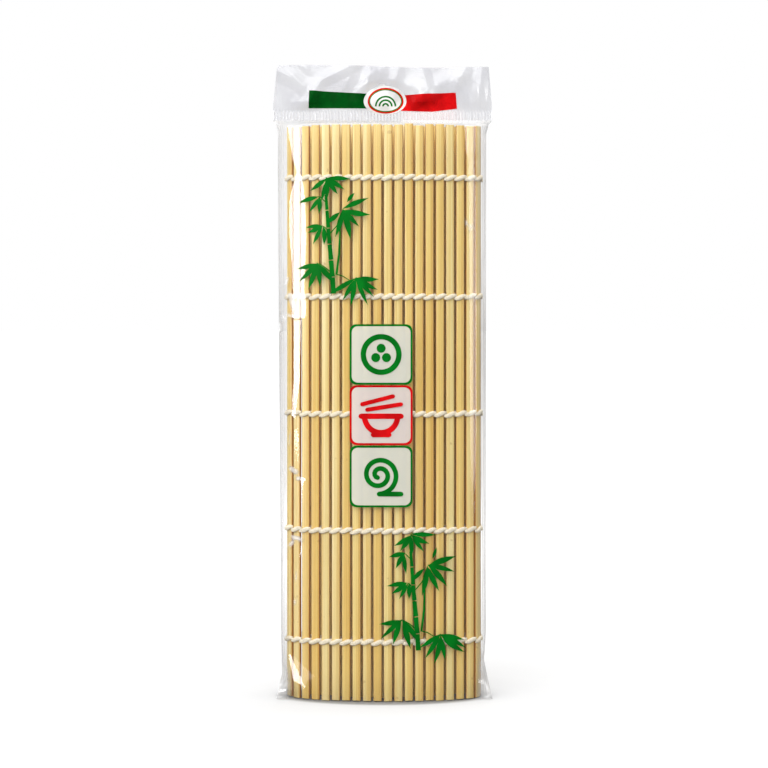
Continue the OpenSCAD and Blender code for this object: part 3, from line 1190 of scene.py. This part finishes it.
def make_floor():
    material, tree, output = node_material("floor")
    shader = tree.nodes.new("ShaderNodeBsdfDiffuse")
    shader.inputs["Color"].default_value = (*grey(FLOOR_GREY), 1)
    glow = tree.nodes.new("ShaderNodeEmission")
    length = tree.nodes.new("ShaderNodeVectorMath")
    length.operation = "LENGTH"
    link(tree, mapped(tree, (1 / PAINTED_SHADOW_AXES[0], 1 / PAINTED_SHADOW_AXES[1], 0)), length.inputs[0])
    # The glow, for camera rays only, fades out toward the mat and so paints a shadow round its foot.
    distance = math_node(tree, "MULTIPLY", length.outputs["Value"], 0.05)
    strength = ramp(tree, distance, [(place, grey(level)) for place, level in FLOOR_GLOW])
    link(tree, strength, glow.inputs["Strength"])
    path = tree.nodes.new("ShaderNodeLightPath")
    add = tree.nodes.new("ShaderNodeAddShader")
    link(tree, shader.outputs["BSDF"], add.inputs[0])
    link(tree, glow.outputs["Emission"], add.inputs[1])
    both = mix_shader(tree, path.outputs["Is Camera Ray"], shader.outputs["BSDF"], add.outputs["Shader"])
    link(tree, both, output.inputs["Surface"])
    corners = [(FLOOR_SIZE * x, FLOOR_SIZE * y, 0) for x, y in ((-1, -1), (1, -1), (1, 1), (-1, 1))]
    floor = mesh_object("floor", corners, [(0, 1, 2, 3)])
    floor.data.materials.append(material)


def make_world():
    world = bpy.data.worlds.new("studio")
    bpy.context.scene.world = world
    world.use_nodes = True
    tree = world.node_tree
    tree.nodes.clear()
    output = tree.nodes.new("ShaderNodeOutputWorld")
    background = tree.nodes.new("ShaderNodeBackground")
    background.inputs["Color"].default_value = (1, 1, 1, 1)
    path = tree.nodes.new("ShaderNodeLightPath")
    coordinates = tree.nodes.new("ShaderNodeTexCoord")
    axes = tree.nodes.new("ShaderNodeSeparateXYZ")
    link(tree, coordinates.outputs["Generated"], axes.inputs["Vector"])
    # Mirrored in the film, the room is white behind the mat and dim on the camera's side
    room = ramp(tree, axes.outputs["Y"], [(0.0, grey(ROOM_DIM)), (0.25, PURE_WHITE)])
    seen = math_node(tree, "MAXIMUM", path.outputs["Is Camera Ray"], path.outputs["Is Transmission Ray"])
    mirrored = math_node(tree, "MULTIPLY", path.outputs["Is Glossy Ray"], room)
    others = math_node(tree, "SUBTRACT", 1.0, path.outputs["Is Glossy Ray"])
    lit = math_node(tree, "MULTIPLY", others, WORLD_LIGHT)
    strength = math_node(tree, "MAXIMUM", seen, math_node(tree, "ADD", mirrored, lit))
    link(tree, strength, background.inputs["Strength"])
    link(tree, background.outputs["Background"], output.inputs["Surface"])


def make_lamp(name, position, size, power, target=(0, 0, 0.14), lights=True):
    """An area lamp that faces its target. Without lights it shows in reflections only."""
    light = bpy.data.lights.new(name, "AREA")
    light.shape = "RECTANGLE"
    light.size, light.size_y = size
    light.energy = power
    obj = add_object(name, light)
    obj.location = position
    obj.rotation_euler = (Vector(target) - Vector(position)).to_track_quat("-Z", "Y").to_euler()
    obj.visible_diffuse = lights


def make_camera():
    data = bpy.data.cameras.new("camera")
    data.sensor_width = SENSOR
    data.lens = SENSOR * CAMERA_DISTANCE / FIELD
    data.shift_y = (FRAME_MIDDLE - CAMERA_HEIGHT) / FIELD
    camera = add_object("camera", data)
    camera.location = (0, FRONT_Y - CAMERA_DISTANCE, CAMERA_HEIGHT)
    camera.rotation_euler = (math.radians(90), 0, 0)
    bpy.context.scene.camera = camera


make_floor()
make_world()
make_lamp("key", (-0.5, -1.0, 1.0), (1.8, 1.2), 22.0)
make_lamp("overhead", (0.0, -0.15, 1.3), (1.0, 1.0), 6.0)
make_lamp("back", (0.7, 1.1, 0.9), (1.8, 1.2), 9.0)
make_lamp("left_strip", (-0.90, -0.51, 0.25), (0.28, 0.5), 8.2, target=LEFT_SIDE, lights=False)
make_lamp("right_strip", (0.90, -0.51, 0.25), (0.28, 0.5), 3.0, target=RIGHT_SIDE, lights=False)
make_camera()
bpy.context.scene.view_settings.view_transform = "Standard"
